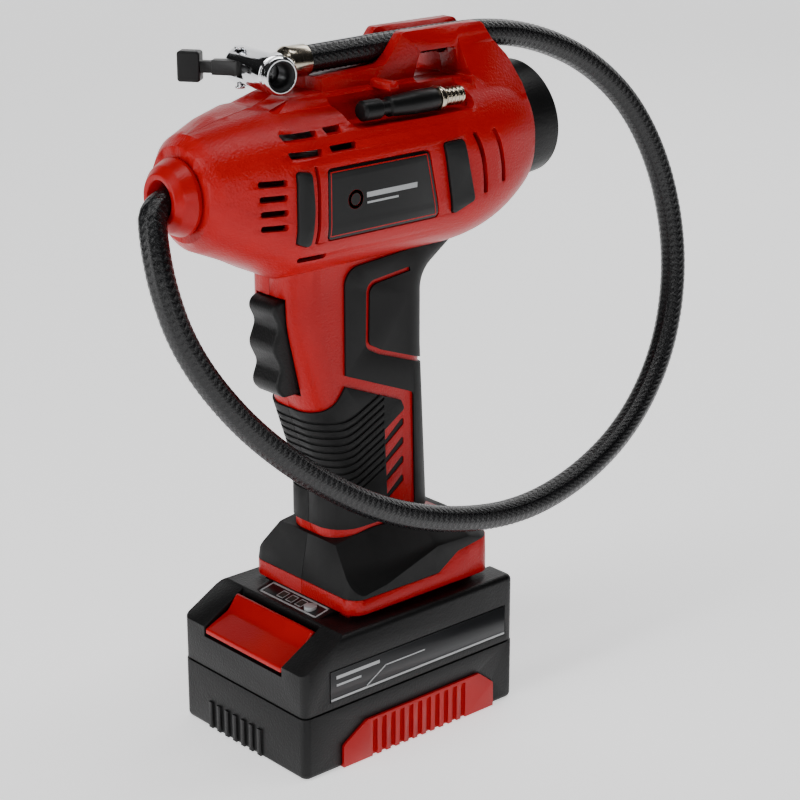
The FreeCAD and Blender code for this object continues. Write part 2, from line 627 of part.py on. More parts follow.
def crank_gear():
    """The large gear with its shaft, counterweight and the crank pin in one moulding."""
    gear = spur_gear(GEAR_TEETH, GEAR_MODULE, -5.8, -1.6, CRANK_Z, 0.5, 0.0)
    lightening = [rod((-7.0, 10.0 * math.sin(math.radians(a)), CRANK_Z + 10.0 * math.cos(math.radians(a))),
                      (1, 0, 0), 2.6, 8.0) for a in (-50, 50, 90, -90)]
    shaft = rod((-5.8, 0, CRANK_Z), (1, 0, 0), 3.0, 10.2)
    weight = rod((-10.6, 0, CRANK_Z), (1, 0, 0), 9.4, 4.9)
    weight = weight.cut([box(-11.0, -6.3, -12, -6.4, CRANK_Z - 12, CRANK_Z + 3),
                         box(-11.0, -6.3, 6.4, 12, CRANK_Z - 12, CRANK_Z + 3)])
    pin = rod((-14.6, 0, CRANK_Z - THROW), (1, 0, 0), 2.4, 4.2)
    return gear.cut(lightening).fuse([shaft, weight, pin])


def crank_bearing():
    return tube((0.8, 0, CRANK_Z), (1, 0, 0), 6.0, 3.05, 3.6)


def pump_frame():
    plate = front_plate([(-19.0, 206.0, 3.0), (19.0, 206.0, 3.0), (19.0, 242.0, 5.0), (14.0, 253.8, 4.0),
                         (-14.0, 253.8, 4.0), (-19.0, 242.0, 5.0)], 0.4, 4.8)
    plate = plate.cut([rod((-1, 0, MOTOR_Z), (1, 0, 0), 4.9, 8), rod((-1, 0, CRANK_Z), (1, 0, 0), 6.0, 8)])
    arms = [box(-24.0, 0.6, s * 14.0 - 1.8, s * 14.0 + 1.8, 236.0, 243.0) for s in (-1, 1)]
    ring = tube((CYLINDER_X, 0, 236.0), (0, 0, 1), 14.6, BORE_R + 2.3, 7.0)
    ring = ring.cut(box(-6.4, 5.0, -20, 20, 230, 250))
    cut_ring = ring.common(box(-40.0, -6.4, -30, 30, 236.0, 243.0))
    return plate.fuse(arms + [cut_ring])


def cylinder():
    sleeve = tube((CYLINDER_X, 0, 232.6), (0, 0, 1), BORE_R + 2.2, BORE_R, 20.0)
    flange = tube((CYLINDER_X, 0, 248.6), (0, 0, 1), 13.0, BORE_R, 4.0).cut(box(-6.2, 5.0, -20, 20, 240, 260))
    fins = [tube((CYLINDER_X, 0, z), (0, 0, 1), 13.0, BORE_R, 0.9).cut(box(-6.2, 5.0, -20, 20, 230, 260))
            for z in (243.6, 246.0)]
    return sleeve.fuse([flange] + fins)


def cylinder_head():
    block = top_plate(rectangle(CYLINDER_X - 12.5, CYLINDER_X + 12.5, -9.4, 9.4, 3.0), 252.7, 259.0)
    fins = [box(CYLINDER_X - 13, CYLINDER_X + 13, -6.6 + 3.6 * i, -4.8 + 3.6 * i, 256.4, 262.0) for i in range(4)]
    outlet = rod((-33.0, 0, 255.6), (1, 0, 0), 2.9, 4.0)
    passage = rod((-34.0, 0, 255.6), (1, 0, 0), 1.4, 12.0)
    return block.cut(fins).fuse(outlet).cut(passage)


def head_screws():
    made = []
    for dx in (-9.6, 9.6):
        for dy in (-7.7, 7.7):
            made.append(rod((CYLINDER_X + dx, dy, 259.05), (0, 0, 1), 1.6, 1.3))
    return Part.makeCompound(made)


def piston_rod():
    big = tube((CYLINDER_X - 2.6, 0, CRANK_Z - THROW), (1, 0, 0), 5.2, 2.6, 5.2)
    shank = box(CYLINDER_X - 1.8, CYLINDER_X + 1.8, -2.6, 2.6, CRANK_Z - THROW + 4.6, 234.4)
    crown = rod((CYLINDER_X, 0, 233.8), (0, 0, 1), BORE_R - 0.35, 5.4)
    groove = tube((CYLINDER_X, 0, 235.6), (0, 0, 1), BORE_R, BORE_R - 1.6, 1.8)
    return big.fuse([shank, crown]).cut(groove)


def piston_seal():
    return tube((CYLINDER_X, 0, 235.7), (0, 0, 1), BORE_R - 0.2, BORE_R - 1.6, 1.6)


def cord_path(points):
    """Straight runs joined by tangent arcs through a list of route points; also their radii."""
    route = [V(*p) for p in points]
    edges, radii, last = [], [], route[0]
    for i in range(1, len(route) - 1):
        a, b = route[i - 1] - route[i], route[i + 1] - route[i]
        half_turn = (math.pi - a.getAngle(b)) / 2
        radius = 0.45 * min(a.Length, b.Length) / math.tan(half_turn)
        start, middle, end = corner_arc(route[i - 1], route[i], route[i + 1], radius)
        edges += [Part.LineSegment(last, start).toShape(), Part.Arc(start, middle, end).toShape()]
        radii.append(radius)
        last = end
    edges.append(Part.LineSegment(last, route[-1]).toShape())
    return Part.Wire(edges), radii


def swept_tube(name, points, radius):
    """A round tube along a route, with a printed check of its volume and bend radii."""
    path, radii = cord_path(points)
    start = V(*points[0])
    circle = Part.Wire([Part.makeCircle(radius, start, V(*points[1]) - start)])
    made = path.makePipeShell([circle], True, False)
    expected = math.pi * radius ** 2 * path.Length
    print("%s: length %.1f, volume / expected %.4f, radii %s" % (
        name, path.Length, made.Volume / expected, " ".join("%.0f" % r for r in radii)))
    return made


def delivery_tube():
    return swept_tube("delivery_tube", [(-33.0, 0, 255.6), (-45.0, 0, 255.6), (-56.0, 0, 236.0),
                                        (-66.3, 0, 236.0)], 2.3)


def hose_fitting():
    hexagon = front_plate([(7.0 * math.cos(math.radians(60 * i)), 236.0 + 7.0 * math.sin(math.radians(60 * i)))
                           for i in range(6)], -71.9, -66.3)
    return hexagon.fuse(rod((-80.1, 0, 236.0), (1, 0, 0), 3.6, 8.6))


# ---------------------------------------------------------------- hose, chuck and adapter
HOSE_ROUTE = [
    (-80.5, 0.0, 236.0), (-94.1, -0.6, 235.6), (-98.6, -8.0, 222.4), (-99.6, -14.0, 207.0),
    (-95.8, -18.5, 188.0), (-86.0, -23.0, 168.0), (-68.0, -27.6, 145.0), (-42.0, -32.6, 122.0),
    (-11.0, -36.0, 102.5), (24.0, -38.6, 90.0), (62.0, -39.4, 84.5), (100.0, -38.6, 91.5), (134.0, -34.6, 107.0),
    (160.0, -29.0, 134.0), (173.0, -22.0, 169.0), (171.5, -14.5, 206.0), (157.5, -8.5, 238.0),
    (134.0, -4.0, 260.5), (106.0, -1.0, 274.0), (77.0, 0.0, 280.2), (48.0, 0.0, 280.6), (15.0, 0.0, 280.4),
    (-20.7, 0.0, 279.6),
]
CHUCK_MOUTH = V(-41.0, -12.0, 277.3)
CHUCK_IN = V(0.14, 0.99, 0).normalize()
CHUCK_ACROSS = V(-CHUCK_IN.y, CHUCK_IN.x, 0)
CHUCK_LENGTH = 33.0
CHUCK_R = 7.3
PIN_ALONG, PIN_ACROSS = 25.5, 3.5     # the lever pin, from the chuck's mouth and off its middle line
LEVER_DIRECTION = V(-0.61, 0.79, 0)
SEAL_R = 4.2          # for a standard tyre valve


def hose():
    return swept_tube("hose", HOSE_ROUTE, HOSE_D / 2)


def hose_ferrule():
    profile = [(-30.8, 0.0), (-30.8, 5.4), (-30.0, 6.2, 0.6), (-21.0, 6.2), (-21.0, 0.0)]
    wire = outline(profile, lambda x, r: V(x, 0, 279.6 + r))
    return Part.Face(wire).revolve(V(0, 0, 279.6), V(1, 0, 0), 360)


def lever_pin_point():
    return CHUCK_MOUTH + CHUCK_IN * PIN_ALONG + CHUCK_ACROSS * PIN_ACROSS


def chuck_frame(shape):
    """Places a shape drawn along +X from the origin so that it runs in from the chuck's mouth."""
    made = shape.copy()
    made.rotate(V(0, 0, 0), V(0, 0, 1), math.degrees(math.atan2(CHUCK_IN.y, CHUCK_IN.x)))
    made.translate(CHUCK_MOUTH)
    return made


def chuck_body():
    profile = [(0.0, 0.0), (0.0, CHUCK_R - 0.9), (0.9, CHUCK_R), (2.6, CHUCK_R), (3.2, CHUCK_R - 0.5),
               (4.0, CHUCK_R - 0.5), (4.6, CHUCK_R), (CHUCK_LENGTH - 2.0, CHUCK_R, 1.6),
               (CHUCK_LENGTH, CHUCK_R - 2.4, 1.0), (CHUCK_LENGTH, 0.0)]
    wire = outline(profile, lambda x, r: V(x, r, 0))
    body = chuck_frame(Part.Face(wire).revolve(V(0, 0, 0), V(1, 0, 0), 360))
    neck = rod((-39.0, 0, 279.6), (1, 0, 0), 4.4, 8.2)
    bore = chuck_frame(rod((-1, 0, 0), (1, 0, 0), 5.9, 10.4))
    slot = chuck_frame(box(17.4, 40.0, -0.7, 12.0, -3.1, 3.1))
    pin_hole = rod(tuple(lever_pin_point() + V(0, 0, -12)), (0, 0, 1), 1.2, 24.0)
    return body.fuse(neck).cut([bore, slot, pin_hole])


def chuck_seal():
    profile = [(0.4, 5.9), (0.4, 5.3), (2.0, SEAL_R), (9.4, SEAL_R), (9.4, 5.9)]
    wire = outline(profile, lambda x, r: V(x, r, 0))
    return chuck_frame(Part.Face(wire).revolve(V(0, 0, 0), V(1, 0, 0), 360))


def lever_pin():
    foot = lever_pin_point() + V(0, 0, -7.9)
    shaft = rod(tuple(foot), (0, 0, 1), 1.15, 15.8)
    return shaft.fuse([rod(tuple(foot), (0, 0, 1), 2.0, 0.7),
                       rod(tuple(foot + V(0, 0, 15.1)), (0, 0, 1), 2.0, 0.7)])


def chuck_lever():
    """The flip lever: a hub on the pin, an arm and a thumb paddle, drawn along +X then turned."""
    hub = rod((0, 0, -2.8), (0, 0, 1), 3.5, 5.6)
    arm = top_plate([(0.0, -2.6), (10.4, -2.0), (10.4, 2.6), (0.0, 3.3)], -2.8, 2.8)
    neck = top_plate([(10.0, -1.4), (16.0, -1.8), (16.0, 2.2), (10.0, 2.2)], -2.2, 2.2)
    paddle = side_plate(rectangle(15.0, 24.0, -5.9, 5.9, 1.2), -3.0, 3.2)

    def face_edge(edge):
        middle = edge.valueAt((edge.FirstParameter + edge.LastParameter) / 2)
        return min(abs(middle.y + 3.0), abs(middle.y - 3.2)) < 1e-3
    paddle = rounded_edges(paddle, 0.9, face_edge)
    lever = hub.fuse([arm, neck, paddle]).cut(rod((0, 0, -5), (0, 0, 1), 1.18, 10.0))
    lever.rotate(V(0, 0, 0), V(0, 0, 1), math.degrees(math.atan2(LEVER_DIRECTION.y, LEVER_DIRECTION.x)))
    lever.translate(lever_pin_point())
    return lever


ADAPTER_AXIS = (-12.9, -23.6, 262.2)


def adapter_nozzle():
    """The tapered plastic inflation nozzle that is stored on the left side."""
    x, y, z = ADAPTER_AXIS
    profile = [(0, 0), (0, 3.0), (1.0, 4.0), (9.0, 4.0, 0.6), (9.8, 2.9), (13.2, 2.9), (14.0, 3.9), (16.0, 3.9),
               (26.0, 4.6), (36.6, 4.6), (38.4, 4.0), (38.4, 0)]
    wire = outline([(x + p[0], *p[1:]) for p in profile], lambda a, r: V(a, y, z + r))
    return Part.Face(wire).revolve(V(0, y, z), V(1, 0, 0), 360)


def adapter_end():
    """The plated threaded end of the nozzle."""
    x, y, z = ADAPTER_AXIS
    flange = tube((x + 38.4, y, z), (1, 0, 0), 4.9, 1.6, 2.2)
    sleeve = tube((x + 40.6, y, z), (1, 0, 0), 3.3, 1.6, 11.0)
    rings = [tube((x + 42.2 + 2.0 * i, y, z), (1, 0, 0), 3.7, 1.6, 1.0) for i in range(5)]
    return flange.fuse([sleeve] + rings)


def adapter_clip():
    """The finger above the stored nozzle, moulded on the left half's ridge."""
    return side_plate([(3.2, 267.1, 1.0), (8.4, 267.1, 1.0), (7.8, 271.0, 1.4), (3.8, 271.0, 1.4)], -21.8, -9.6)


# ---------------------------------------------------------------- battery pack
TROUGH_IN, TROUGH_OUT = 15.8, 27.0
BLOCK_TOP_Z = 59.2
LATCH_HALF = 25.0
LATCH_FLOOR_Z = 41.2


def pack_form(d, z0, z1):
    points = rectangle(-PACK_LENGTH / 2 - d, PACK_LENGTH / 2 + d, -PACK_WIDTH / 2 - d, PACK_WIDTH / 2 + d,
                       PACK_CORNER + d)
    return top_plate(points, z0, z1)


def around_at(shape, z, radius):
    """Rounds the outer edges of a pack shell that lie at one height."""
    def at_height(edge):
        points = [edge.valueAt(edge.FirstParameter), edge.valueAt(edge.LastParameter)]
        return all(abs(p.z - z) < 1e-3 and (abs(p.y) > 20 or abs(p.x) > 45) for p in points)
    return rounded_edges(shape, radius, at_height)


def pack_lower_shell():
    body = around_at(pack_form(0, 0.0, PACK_SPLIT_Z - 0.4), 0.0, 2.4)
    body = body.fuse(pack_form(-1.2, PACK_SPLIT_Z - 1.0, PACK_SPLIT_Z))
    body = body.cut(pack_form(-WALL, 2.8, PACK_SPLIT_Z + 1))
    ribs = [box(-PACK_LENGTH / 2 - 0.9, -PACK_LENGTH / 2 + 1.0, y - 1.2, y + 1.2, 1.2, 13.0)
            for y in [-11.2 + 5.4 * i for i in range(7)]]
    grip_plate = side_plate(GRIP_PLATE, -60.0, 60.0)
    pocket = grip_plate.common(pack_form(0, 0.0, 20.0)).cut(pack_form(-1.3, -1.0, 21.0))
    posts = [rod((x, y, 2.0), (0, 0, 1), 3.4, PACK_SPLIT_Z - 2.0) for x, y in PACK_SCREWS]
    body = body.fuse(ribs + posts).cut([pocket] + pack_screw_holes())
    return body


GRIP_PLATE = [(-38.7, 0.0), (-38.6, 10.3, 2.0), (-26.3, 17.8, 2.0), (36.8, 18.2, 2.0), (45.0, 11.7, 2.0),
              (45.2, 0.0)]
PACK_SCREWS = [(-50.2, -32.8), (-50.2, 32.8), (50.2, -32.8), (50.2, 32.8)]


def pack_screw_holes():
    holes = [rod((x, y, -1.0), (0, 0, 1), 2.8, 5.4) for x, y in PACK_SCREWS]
    return holes + [rod((x, y, 3.0), (0, 0, 1), 1.5, 30.0) for x, y in PACK_SCREWS]


def pack_screws():
    made = []
    for x, y in PACK_SCREWS:
        screw = rod((x, y, 2.0), (0, 0, 1), 2.6, 2.3).fuse(rod((x, y, 4.2), (0, 0, 1), 1.2, 28.0))
        made.append(screw.cut(rod((x, y, 1.9), (0, 0, 1), 1.2, 1.2)))
    return Part.makeCompound(made)


def pack_grip():
    """The ribbed insert low on the pack's left side."""
    plate = side_plate(shrunk(GRIP_PLATE, 0.3), -60.0, 0.0).common(box(-60, 60, -60, 0, 0.3, 30))
    made = plate.common(pack_form(1.0, 0.0, 20.0)).cut(pack_form(-1.3, -1.0, 21.0))
    ribs = [box(-23.0 + 4.9 * i, -20.4 + 4.9 * i, -42.0, -39.8, -1.0, 16.4) for i in range(11)]
    return made.cut(ribs)


LATCH_POCKET = [(-60.0, LATCH_FLOOR_Z), (-38.0, LATCH_FLOOR_Z), (-36.6, 58.0), (-60.0, 58.0)]
SLOPE = [(-70.0, 36.0), (-57.7, 45.4), (-36.0, 57.4), (-36.0, 70.0), (-70.0, 70.0)]


def pack_upper_shell():
    body = around_at(pack_form(-0.3, PACK_SPLIT_Z + 0.3, PACK_TOP_Z), PACK_TOP_Z, 2.6)
    body = body.cut(side_plate(SLOPE, -60.0, 60.0))
    body = body.cut(pack_form(-WALL - 0.3, PACK_SPLIT_Z - 1, PACK_TOP_Z - 7.0).cut(
        side_plate([(-70.0, 30.0), (-54.0, 40.0), (-36.0, 50.0), (-36.0, 70.0), (-70.0, 70.0)], -60.0, 60.0)))
    trough = box(-24.0, 70.0, TROUGH_IN, TROUGH_OUT, 52.6, 70.0)
    block = top_plate(rectangle(-24.2, 42.0, -18.6, 18.6, 2.0), 55.6, BLOCK_TOP_Z)
    ramp = side_plate([(-35.6, 54.0), (-35.6, 57.0, 0.6), (-25.2, BLOCK_TOP_Z, 0.8), (-23.0, BLOCK_TOP_Z),
                       (-23.0, 54.0)], -20.4, 20.4)
    body = body.cut([trough, mirrored(trough)]).fuse([block, ramp])
    panel_pocket = panel_prism(-1.2, 3.0, 19.0)
    latch_pocket = side_plate(LATCH_POCKET, -LATCH_HALF - 0.5, LATCH_HALF + 0.5)
    latch_walls = side_plate([(-56.0, 39.7), (-35.2, 39.7), (-35.2, 53.0), (-36.6, 53.0), (-38.0, LATCH_FLOOR_Z),
                              (-56.0, LATCH_FLOOR_Z)], -LATCH_HALF - 0.5, LATCH_HALF + 0.5)
    cheeks = [side_plate([(-56.0, 39.7), (-35.2, 39.7), (-35.2, 55.0), (-38.0, 55.0), (-56.0, 45.0)], y, y + 1.4)
              for y in (-LATCH_HALF - 1.9, LATCH_HALF + 0.5)]
    slots = [box(31.0, 43.0, y - 1.0, y + 1.0, 57.4, 60.0) for y in BLADES]
    slots.append(rod(CHARGE_BUTTON + (55.4,), (0, 0, 1), 3.1, 5.0))
    label = [box(-44.4, 52.4, s * (PACK_WIDTH / 2 - 0.3) - 0.4, s * (PACK_WIDTH / 2 - 0.3) + 0.4, 30.6, 44.4)
             for s in (-1, 1)]
    body = body.cut([panel_pocket, latch_pocket] + slots + label).fuse([latch_walls] + cheeks)
    posts = [rod((x, y, PACK_SPLIT_Z + 0.4), (0, 0, 1), 3.4, 24.0) for x, y in PACK_SCREWS]
    under_slope = side_plate([(-70.0, 38.0), (-36.0, 48.0), (-36.0, 70.0), (-70.0, 70.0)], -60.0, 60.0)
    posts = [post.cut(under_slope) for post in posts]
    pilots = [rod((x, y, PACK_SPLIT_Z - 1), (0, 0, 1), 1.25, 7.0) for x, y in PACK_SCREWS]
    return body.fuse(posts).cut(pilots)


BLADES = (-9.0, 0.0, 9.0)
CHARGE_BUTTON = (-30.0, -10.6)


def panel_prism(low, high, half_width):
    """A slab on the ramp in front of the slide block, between two heights measured from its surface."""
    front, rear = (-34.3, 57.27), (-25.6, 59.11)
    return side_plate([(front[0], front[1] + low), (rear[0], rear[1] + low), (rear[0], rear[1] + high),
                       (front[0], front[1] + high)], -half_width, half_width)


def charge_panel():
    panel = panel_prism(-1.1, -0.06, 18.8).common(box(-34.2, -25.7, -18.8, 18.8, 50.0, 65.0))
    return panel.cut(rod(CHARGE_BUTTON + (50.0,), (0, 0, 1), 3.0, 20.0))


def charge_button():
    return rod(CHARGE_BUTTON + (56.9,), (0, 0, 1), 2.7, 2.2)


def pack_latch():
    """The red release catch: a scooped thumb plate over a block that meets the spring."""
    body = side_plate([(-38.6, 54.6, 1.0), (-40.6, 56.2, 1.0), (-45.5, 49.8, 6.0), (-57.2, 44.8, 1.2),
                       (-57.2, 42.9), (-50.0, 45.2), (-43.0, 48.0), (-38.6, 51.4)], -LATCH_HALF, LATCH_HALF)

    def outer_side(edge):
        middle = edge.valueAt((edge.FirstParameter + edge.LastParameter) / 2)
        return abs(abs(middle.y) - LATCH_HALF) < 1e-3 and middle.z > 44.0 + (middle.x + 57) * 0.45
    body = rounded_edges(body, 0.8, outer_side)
    guide = box(-49.5, -43.5, -5.0, 5.0, 45.3, 48.0)
    return body.fuse(guide)


def latch_spring():
    return helix_spring((-46.5, 0, LATCH_FLOOR_Z + 0.4), (0, 0, 1), 2.2, 0.3, 3.2, 3)


CELL_X = [-36.8 + 18.4 * i for i in range(5)]
CELL_Z = (12.0, 30.3)


def cells():
    return Part.makeCompound([rod((x, -32.5, z), (0, 1, 0), 9.1, 65.0) for x in CELL_X for z in CELL_Z])


def cell_tabs():
    made = []
    for side in (-1, 1):
        for x in CELL_X:
            y = side * 32.65
            made.append(box(x - 3.4, x + 3.4, y - 0.15, y + 0.15, 8.0, 35.0))
    return Part.makeCompound(made)


def pack_board():
    board = top_plate(rectangle(-33.0, 42.0, -15.0, 15.0, 2.0), 45.4, 47.0)
    chips = [box(-20.0, -8.0, -6.0, 6.0, 47.0, 49.0), box(2.0, 10.0, -9.0, -3.0, 47.0, 48.6),
             box(14.0, 17.0, 2.0, 10.0, 47.0, 49.6)]
    return board.fuse(chips)


def pack_labels():
    left = box(-44.0, 52.0, -PACK_WIDTH / 2 - 0.02, -PACK_WIDTH / 2 + 0.66, 31.0, 44.0)
    return Part.makeCompound([left, mirrored(left)])


def foot_rails():
    """The two hooked rails under the tool's foot that the pack slides onto."""
    rail = front_plate([(20.0, FOOT_Z + 0.5), (20.0, 55.2), (16.6, 55.2), (16.6, 53.2), (26.4, 53.2),
                        (26.4, FOOT_Z + 0.5)], -22.4, 45.0)
    return [rail, mirrored(rail)]


def terminal_block():
    """The plastic carrier under the foot with the three contact blades."""
    body = box(30.0, 40.6, -18.0, 18.0, FOOT_Z + WALL, FOOT_Z + WALL + 3.6)
    blades = [box(34.0, 40.0, y - 0.4, y + 0.4, 57.8, FOOT_Z + WALL + 1.0) for y in BLADES]
    return body.fuse(blades)


def power_leads():
    made = []
    for s in (-1, 1):
        made.append(swept_tube("lead", [(33.0, s * 6.0, 66.0), (31.0, s * 6.0, 78.0), (14.0, s * 8.0, 98.0),
                                        (11.0, s * 9.0, 126.0), (12.0, s * 7.0, 150.0), (6.4, s * 4.6, 163.0)], 1.2))
        made.append(swept_tube("lead", [(5.4, s * 4.6, 183.0), (14.0, s * 6.0, 194.0), (32.0, s * 9.0, 207.0),
                                        (52.0, s * 10.0, 211.0), (65.2, s * 8.6, 214.4), (65.2, s * 8.6, 223.8)], 1.2))
    return Part.makeCompound(made)


def motor_ribs():
    """Two ribs in the barrel that carry the motor can, open below for the leads."""
    ribs = join([box(11.0, 13.0, -40, 40, 204.0, 254.4), box(50.0, 52.0, -40, 40, 204.0, 262)])
    ribs = ribs.common(barrel(-WALL + 0.4)).cut(rod((0, 0, MOTOR_Z), (1, 0, 0), 18.15, 80.0))
    return ribs.cut(box(0, 60, -16, 16, 200.0, 219.0))


# ---------------------------------------------------------------- build and save
def main():
    shell, outer = housing()
    shell = shell.cut(housing_openings(outer))
    mouth = cap_frame(tube((-CAP_DEPTH - 4.0, 0, 0), (1, 0, 0), CAP_R + 2.6, CAP_R - 1.0, 12.0))
    shell = shell.fuse(mouth.common(barrel(-0.4)))
    shell = shell.cut(cap_frame(rod((-CAP_DEPTH - 2.2, 0, 0), (1, 0, 0), CAP_R + 0.2, 40.0)))
    shell = shell.fuse([motor_ribs()] + foot_rails())
    left, right = split_halves(shell, outer)
    left = left.fuse(adapter_clip())
    save("left_housing", left)
    save("right_housing", right)
    save("nose_collar", nose_collar())
    skin, flare, inset = grip_skins()
    for name, y0, y1 in (("left_overmold", -60, -SEAM), ("right_overmold", SEAM, 60)):
        half = box(-120, 120, y0, y1, 50, 300)
        slots = inset if y0 < -1 else mirrored(inset)
        save(name, Part.makeCompound(skin.common(half).Solids + flare.common(half).Solids + slots.Solids))
    pad = pads()
    save("side_pads", Part.makeCompound(pad.Solids + mirrored(pad).Solids))
    label = label_plate()
    save("side_labels", Part.makeCompound(label.Solids + mirrored(label).Solids))
    save("housing_screws", housing_screws())
    save("gauge_housing", gauge_housing())
    save("display_lens", display_lens())
    save("display_screen", display_screen())
    save("display_board", display_board())
    for index, name in enumerate(("minus_button", "mode_button", "plus_button")):
        save(name, display_button(index))
    for make in (trigger, trigger_switch, trigger_spring, motor_can, motor_magnets, motor_endbell, motor_shaft,
                 armature, drive_pinion, cooling_fan, crank_gear, crank_bearing, pump_frame, cylinder,
                 cylinder_head, head_screws, piston_rod, piston_seal, delivery_tube, hose_fitting, hose,
                 hose_ferrule, chuck_body, chuck_seal, lever_pin, chuck_lever, adapter_nozzle, adapter_end,
                 pack_lower_shell, pack_upper_shell, pack_latch, latch_spring, cells, cell_tabs, pack_board,
                 charge_panel, charge_button, pack_labels, pack_screws, terminal_block, power_leads):
        save(make.__name__, make())
    grip_left = pack_grip()
    save("left_pack_grip", grip_left)
    save("right_pack_grip", mirrored(grip_left))


main()
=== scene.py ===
"""The look of a cordless hand-held air inflator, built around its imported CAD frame.

Lengths are metres, except in tables that are given in millimetres and scaled by MM.
"""
import json
import math

import bmesh
import bpy
import numpy as np
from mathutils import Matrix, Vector


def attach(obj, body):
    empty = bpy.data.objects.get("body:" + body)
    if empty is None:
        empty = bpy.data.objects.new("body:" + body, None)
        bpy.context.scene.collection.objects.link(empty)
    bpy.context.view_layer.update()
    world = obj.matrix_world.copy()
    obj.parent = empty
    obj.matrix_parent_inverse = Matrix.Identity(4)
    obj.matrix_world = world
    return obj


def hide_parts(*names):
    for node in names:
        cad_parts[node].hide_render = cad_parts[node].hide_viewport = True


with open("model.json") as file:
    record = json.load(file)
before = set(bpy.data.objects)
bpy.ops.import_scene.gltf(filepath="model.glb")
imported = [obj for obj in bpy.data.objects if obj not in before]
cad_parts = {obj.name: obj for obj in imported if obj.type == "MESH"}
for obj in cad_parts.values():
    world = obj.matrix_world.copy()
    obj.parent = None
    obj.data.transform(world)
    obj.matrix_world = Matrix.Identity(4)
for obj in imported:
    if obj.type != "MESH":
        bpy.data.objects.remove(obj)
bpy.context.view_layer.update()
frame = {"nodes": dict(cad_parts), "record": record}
NODES = frame["nodes"]
MM = 0.001

# ------------------------------------------------------------------ camera
CAMERA_PLACE = Vector((-0.5399, -0.6392, 0.4270))
CAMERA_AZIMUTH = math.radians(-41.63)
CAMERA_ELEVATION = math.radians(19.06)
LENS_MM = 97.75


def add_camera():
    data = bpy.data.cameras.new("camera")
    data.lens = LENS_MM
    data.sensor_width = 36.0
    data.clip_start, data.clip_end = 0.05, 20.0
    camera = bpy.data.objects.new("camera", data)
    bpy.context.scene.collection.objects.link(camera)
    camera.location = CAMERA_PLACE
    camera.rotation_euler = (math.pi / 2 - CAMERA_ELEVATION, 0.0, CAMERA_AZIMUTH)
    bpy.context.scene.camera = camera


add_camera()


# ------------------------------------------------------------------ node helpers
class Shader:
    """A material under construction: short names for the nodes that the recipes share."""

    def __init__(self, name, colour, roughness, metallic=0.0, **sockets):
        self.object_place = None
        self.material = bpy.data.materials.new(name)
        self.material.use_nodes = True
        self.tree = self.material.node_tree
        self.bsdf = self.tree.nodes["Principled BSDF"]
        self.set("Base Color", (*colour, 1.0))
        self.set("Roughness", roughness)
        self.set("Metallic", metallic)
        for key, value in sockets.items():
            self.set(key.replace("_", " "), value)
        self.material.diffuse_color = (*colour, 1.0)

    def set(self, socket, value):
        self.bsdf.inputs[socket].default_value = value

    def node(self, kind, **settings):
        made = self.tree.nodes.new("ShaderNode" + kind)
        for key, value in settings.items():
            if key in made.inputs:
                made.inputs[key].default_value = value
            else:
                setattr(made, key, value)
        return made

    def link(self, source, target):
        self.tree.links.new(source, target)

    def place(self):
        """The object coordinates that every noise of this material shares."""
        if self.object_place is None:
            self.object_place = self.node("TexCoord").outputs["Object"]
        return self.object_place

    def noise(self, scale, detail=2.0, rough=0.5, stretch=None):
        source = self.place()
        if stretch:
            mapping = self.node("Mapping")
            mapping.inputs["Scale"].default_value = stretch
            self.link(source, mapping.inputs["Vector"])
            source = mapping.outputs["Vector"]
        made = self.node("TexNoise", Scale=scale, Detail=detail, Roughness=rough)
        self.link(source, made.inputs["Vector"])
        return made.outputs["Fac"]

    def ramp(self, source, stops):
        """A colour ramp with stops of (position, value or colour)."""
        made = self.node("ValToRGB")
        elements = made.color_ramp.elements
        while len(elements) < len(stops):
            elements.new(0.5)
        for element, (position, value) in zip(elements, stops):
            element.position = position
            colour = value if isinstance(value, tuple) else (value, value, value)
            element.color = (*colour, 1.0)
        self.link(source, made.inputs["Fac"])
        return made.outputs["Color"]

    def maths(self, operation, a, b):
        made = self.node("Math", operation=operation)
        for socket, value in zip(made.inputs, (a, b)):
            if isinstance(value, (int, float)):
                socket.default_value = value
            else:
                self.link(value, socket)
        return made.outputs[0]

    def bump(self, height, distance, strength):
        made = self.node("Bump", Strength=strength, Distance=distance)
        self.link(height, made.inputs["Height"])
        self.drive("Normal", made.outputs["Normal"])

    def drive(self, socket, source):
        self.link(source, self.bsdf.inputs[socket])


EDGE_REACH = 0.0006      # how far the rubbed look spreads from an edge
EDGE_SHARE = 0.22        # how much of the worn colour shows on an edge


def edge_mask(shader):
    """White where the surface turns sharply outwards, from the rounded normal at edges."""
    bevel = shader.node("Bevel", samples=4)
    bevel.inputs["Radius"].default_value = EDGE_REACH
    geometry = shader.node("NewGeometry")
    dot = shader.node("VectorMath", operation="DOT_PRODUCT")
    shader.link(bevel.outputs["Normal"], dot.inputs[0])
    shader.link(geometry.outputs["Normal"], dot.inputs[1])
    return shader.ramp(dot.outputs["Value"], [(0.80, 1.0), (0.985, 0.0)])


# ------------------------------------------------------------------ materials
GLOSS_SPREAD = 0.08      # how much the roughness wanders over a moulded surface


def scaled(colour, by):
    return tuple(min(1, channel * by) for channel in colour)


